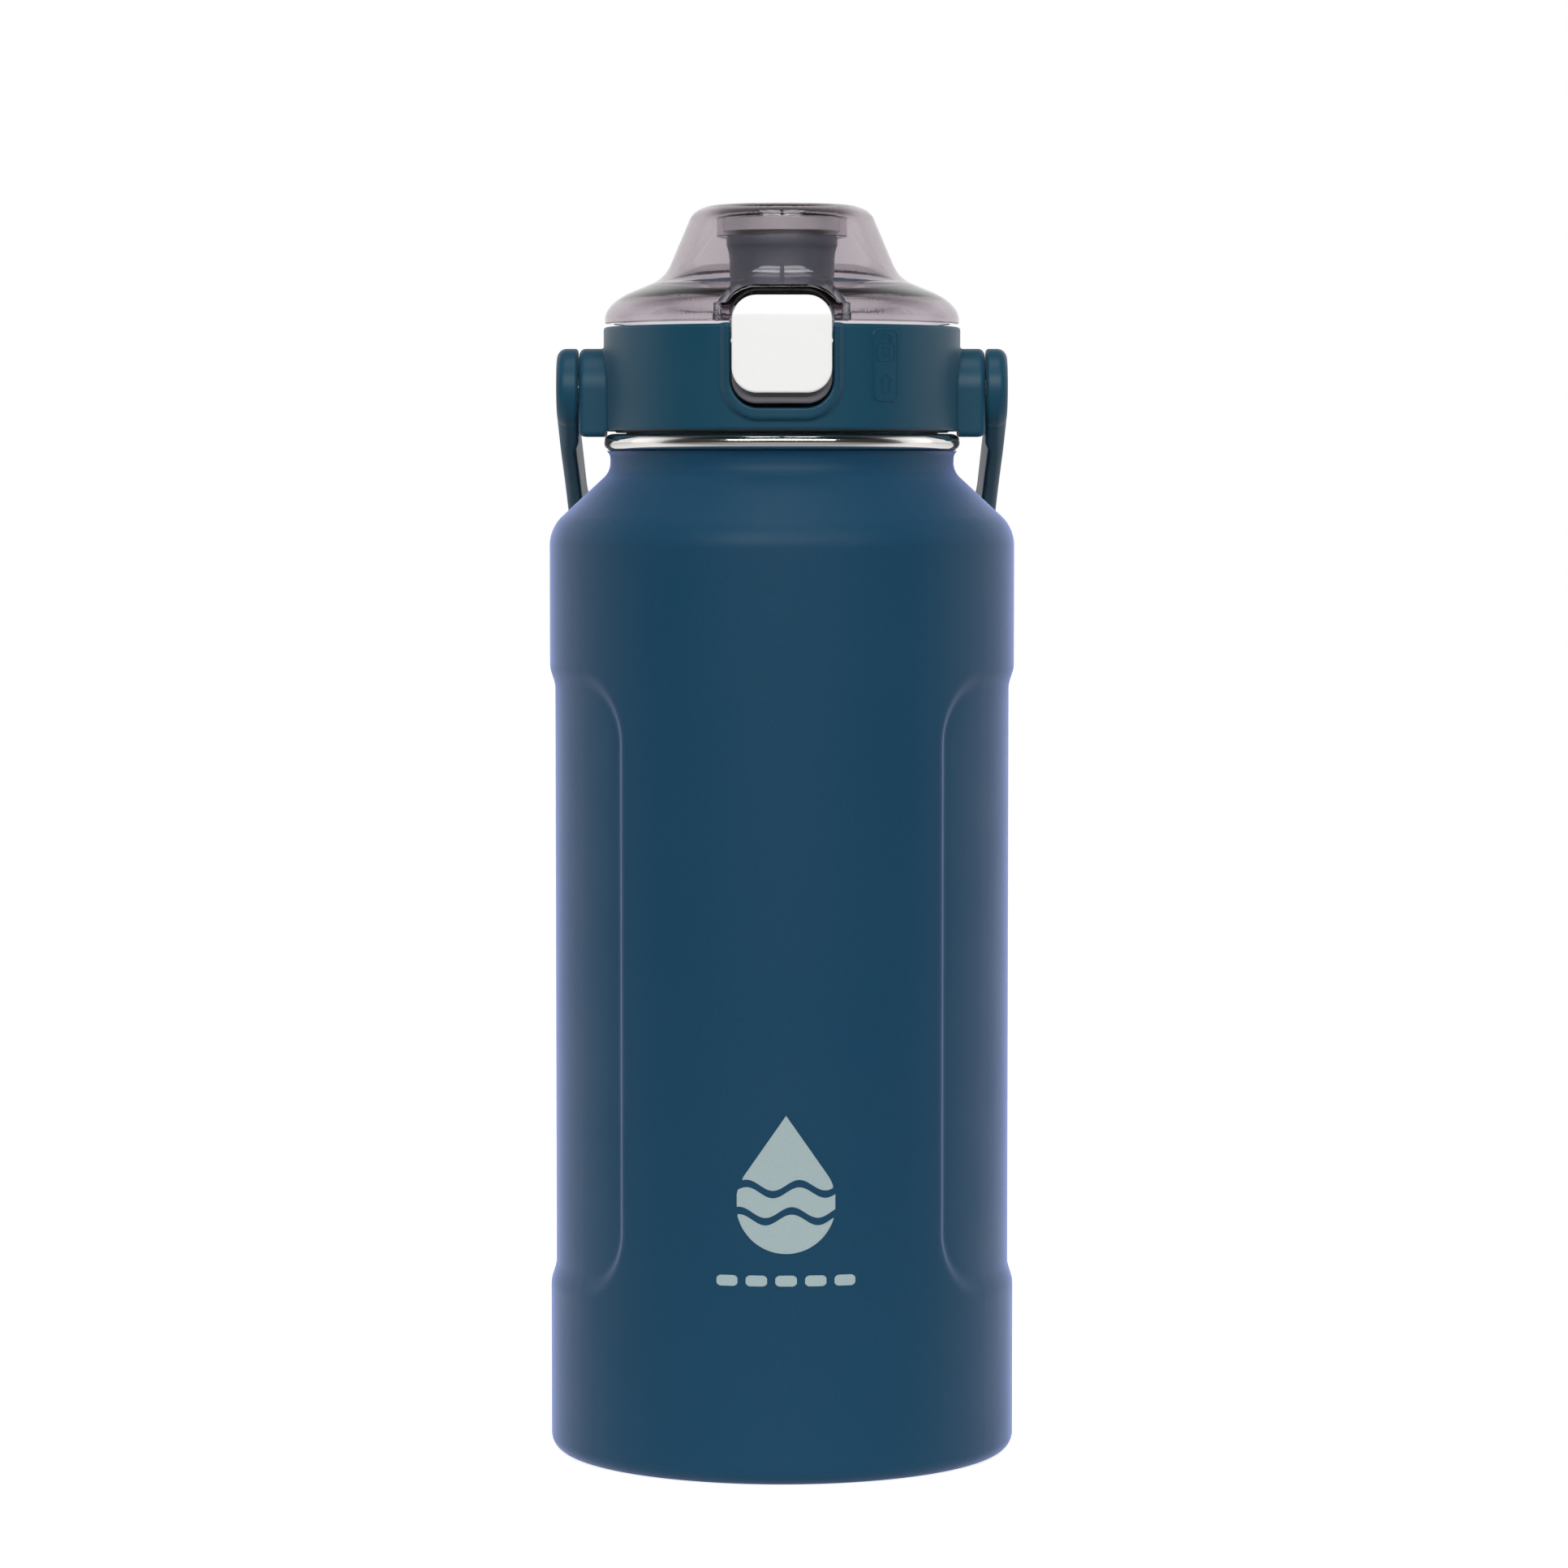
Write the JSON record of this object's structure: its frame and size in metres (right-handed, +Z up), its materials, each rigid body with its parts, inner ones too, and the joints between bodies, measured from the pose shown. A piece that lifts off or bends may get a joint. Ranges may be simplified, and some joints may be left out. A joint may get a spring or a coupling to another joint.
{
  "type": "insulated water jug",
  "caption": "Double-wall steel water jug with a screw-in lid, a push-button flip cap over a drinking spout, a lock slider and a swinging carry handle.",
  "frame": {"origin": "centre of the base, on the surface that the jug stands on", "axes": "+Z up along the body's axis, -Y towards the push button, +X to the right seen from the button's side"},
  "size_m": [0.1144, 0.1297, 0.3072],
  "materials": {
    "powder_coat": "satin deep blue powder coat with a fine texture",
    "steel": "brushed stainless steel",
    "polished_steel": "polished stainless steel",
    "solder": "dark glass solder pellet",
    "dark_silicone": "matt slate silicone",
    "lid_plastic": "satin teal-blue moulded plastic",
    "handle_plastic": "satin teal-blue moulded plastic",
    "inner_plastic": "satin white food-grade plastic",
    "smoked_plastic": "glossy smoked clear plastic",
    "clear_silicone": "matt translucent silicone",
    "button_plastic": "satin dark grey moulded plastic",
    "slider_plastic": "semi-gloss white moulded plastic"
  },
  "bodies": {
    "bottle": {"outer_shell": "powder_coat", "inner_flask": "steel", "neck_ring": "polished_steel", "outer_base": "steel", "vacuum_seal": "solder", "getter": "steel", "base_cover": "steel"},
    "gasket": {"mouth_gasket": "dark_silicone"},
    "lid": {"lid_housing": "lid_plastic", "lid_plug": "inner_plastic", "spout_tube": "inner_plastic", "tube_seal": "dark_silicone", "spout": "dark_silicone", "hinge_pin": "steel", "hinge_spring": "steel", "button_spring_left": "steel", "button_spring_right": "steel", "pivot_pin_left": "steel", "pivot_pin_right": "steel"},
    "cap": {"clear_cap": "smoked_plastic", "cap_seal": "clear_silicone"},
    "button": {"push_button": "button_plastic"},
    "slider": {"lock_slider": "slider_plastic"},
    "handle": {"carry_handle": "handle_plastic"}
  },
  "joints": [
    {"name": "lid_lift", "type": "slide", "parent": "bottle", "child": "gasket", "axis": [0, 0, 1], "range_m": [0, 0.025]},
    {"name": "lid_turn", "type": "hinge", "parent": "gasket", "child": "lid", "pos_m": [0, 0, 0.2516], "axis": [0, 0, 1], "range_deg": [0, 1800]},
    {"name": "cap_hinge", "type": "hinge", "parent": "lid", "child": "cap", "pos_m": [0, 0.0466, 0.2763], "axis": [-1, 0, 0], "range_deg": [0, 120]},
    {"name": "button_press", "type": "slide", "parent": "lid", "child": "button", "axis": [0, 1, 0], "range_m": [0, 0.0025], "stiffness_N_per_m": 900, "deforming": ["button_spring_left", "button_spring_right"]},
    {"name": "lock_slide", "type": "slide", "parent": "button", "child": "slider", "axis": [0, 0, -1], "range_m": [0, 0.0026]},
    {"name": "handle_swing", "type": "hinge", "parent": "lid", "child": "handle", "pos_m": [0, 0, 0.2617], "axis": [1, 0, 0], "range_deg": [0, 258]}
  ],
  "couplings": [
    {"joint": "lid_lift", "follows": "lid_turn", "m_per_rad": 0.00079577}
  ]
}
